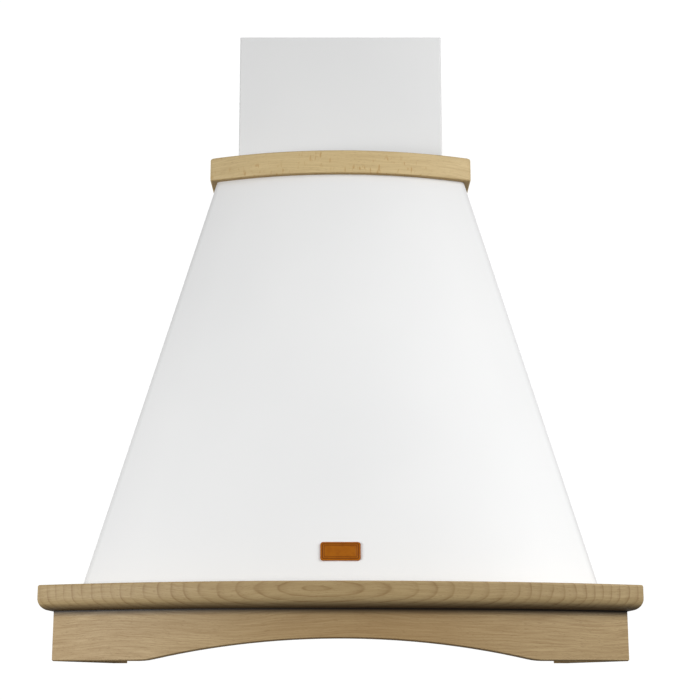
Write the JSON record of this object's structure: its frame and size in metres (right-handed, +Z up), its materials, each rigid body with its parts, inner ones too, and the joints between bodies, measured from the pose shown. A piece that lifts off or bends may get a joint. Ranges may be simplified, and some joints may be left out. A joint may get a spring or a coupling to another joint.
{
  "type": "dome range hood",
  "caption": "Wall-hung dome range hood: bowed white steel canopy on a mitred beech frame with an arched apron, telescopic chimney, ducted blower and swing-down grease filters.",
  "frame": {"origin": "on the wall plane (rear face of the back panel), midway between the two hanging keyholes", "axes": "+Z up, +Y into the wall, front faces -Y, +X to the right seen from the front"},
  "size_m": [0.6, 0.4899, 0.748],
  "materials": {
    "beech": "clear satin lacquer over steamed beech",
    "white_paint": "white powder coat, fine texture",
    "zinc_sheet": "zinc-coated sheet, dull",
    "leather": "tan leather, smooth",
    "white_plastic": "white moulded plastic",
    "grey_plastic": "mid-grey moulded plastic",
    "black_plastic": "black moulded plastic",
    "filter_frame": "rolled aluminium, satin",
    "filter_mesh": "expanded aluminium mesh pack",
    "frosted": "frosted polycarbonate",
    "bulb_glass": "opal glass",
    "scroll_plastic": "pale grey moulded plastic",
    "steel": "zinc-plated steel",
    "motor_paint": "dark grey enamel",
    "capacitor_can": "white moulded can",
    "rubber": "black rubber"
  },
  "bodies": {
    "housing": {"apron_front": "beech", "apron_left": "beech", "apron_right": "beech", "back_panel": "zinc_sheet", "badge": "leather", "blower_screws": "steel", "bottom_pan": "white_paint", "bush_screws": "steel", "cable_gland": "black_plastic", "capacitor": "capacitor_can", "capacitor_clip": "zinc_sheet", "chimney_cover": "white_paint", "chimney_feet": "zinc_sheet", "chimney_screws": "steel", "control_plate": "white_plastic", "corner_blocks": "beech", "cornice_front": "beech", "cornice_left": "beech", "cornice_right": "beech", "dome_screws": "steel", "dome_shell": "white_paint", "duct_spigot": "black_plastic", "filter_cradles": "zinc_sheet", "flap_pins": "steel", "lamp_bulb_left": "bulb_glass", "lamp_bulb_right": "bulb_glass", "lamp_holder_left": "black_plastic", "lamp_holder_right": "black_plastic", "lamp_lens_left": "frosted", "lamp_lens_right": "frosted", "motor": "motor_paint", "motor_bracket": "zinc_sheet", "motor_bushes": "rubber", "outlet_transition": "scroll_plastic", "pan_screws": "steel", "scroll_half_left": "scroll_plastic", "scroll_half_right": "scroll_plastic", "switch_box": "black_plastic", "terminal_box": "black_plastic", "terminal_lid": "black_plastic", "top_plate": "zinc_sheet", "upper_rail_front": "beech", "upper_rail_left": "beech", "upper_rail_right": "beech"},
    "impeller": {"impeller": "scroll_plastic", "motor_shaft": "steel"},
    "damper_left": {"damper_flap_left": "black_plastic"},
    "damper_right": {"damper_flap_right": "black_plastic"},
    "filter_left": {"filter_frame_left": "filter_frame", "filter_mesh_left": "filter_mesh"},
    "filter_right": {"filter_frame_right": "filter_frame", "filter_mesh_right": "filter_mesh"},
    "latch_left": {"filter_latch_left": "grey_plastic"},
    "latch_right": {"filter_latch_right": "grey_plastic"},
    "speed_slider": {"speed_slider": "grey_plastic"},
    "light_slider": {"light_slider": "grey_plastic"},
    "chimney_extension": {"chimney_extension": "white_paint"}
  },
  "joints": [
    {"name": "impeller_spin", "type": "hinge", "parent": "housing", "child": "impeller", "pos_m": [0, -0.162, -0.08], "axis": [1, 0, 0], "continuous": true},
    {"name": "damper_left_swing", "type": "hinge", "parent": "housing", "child": "damper_left", "pos_m": [-0.005, -0.105, 0.1241], "axis": [0, 1, 0], "range_deg": [0, 78]},
    {"name": "damper_right_swing", "type": "hinge", "parent": "housing", "child": "damper_right", "pos_m": [0.005, -0.105, 0.1241], "axis": [0, -1, 0], "range_deg": [0, 78]},
    {"name": "speed_slide", "type": "slide", "parent": "housing", "child": "speed_slider", "axis": [1, 0, 0], "range_m": [0, 0.018]},
    {"name": "light_slide", "type": "slide", "parent": "housing", "child": "light_slider", "axis": [1, 0, 0], "range_m": [0, 0.008]},
    {"name": "chimney_extend", "type": "slide", "parent": "housing", "child": "chimney_extension", "axis": [0, 0, 1], "range_m": [0, 0.1]},
    {"name": "filter_left_swing", "type": "hinge", "parent": "housing", "child": "filter_left", "pos_m": [-0.121, -0.05, -0.427], "axis": [1, 0, 0], "range_deg": [0, 75]},
    {"name": "latch_left_slide", "type": "slide", "parent": "filter_left", "child": "latch_left", "axis": [0, 1, 0], "range_m": [0, 0.006], "stiffness_N_per_m": 400, "springref_m": -0.002},
    {"name": "filter_right_swing", "type": "hinge", "parent": "housing", "child": "filter_right", "pos_m": [0.121, -0.05, -0.427], "axis": [1, 0, 0], "range_deg": [0, 75]},
    {"name": "latch_right_slide", "type": "slide", "parent": "filter_right", "child": "latch_right", "axis": [0, 1, 0], "range_m": [0, 0.006], "stiffness_N_per_m": 400, "springref_m": -0.002}
  ]
}
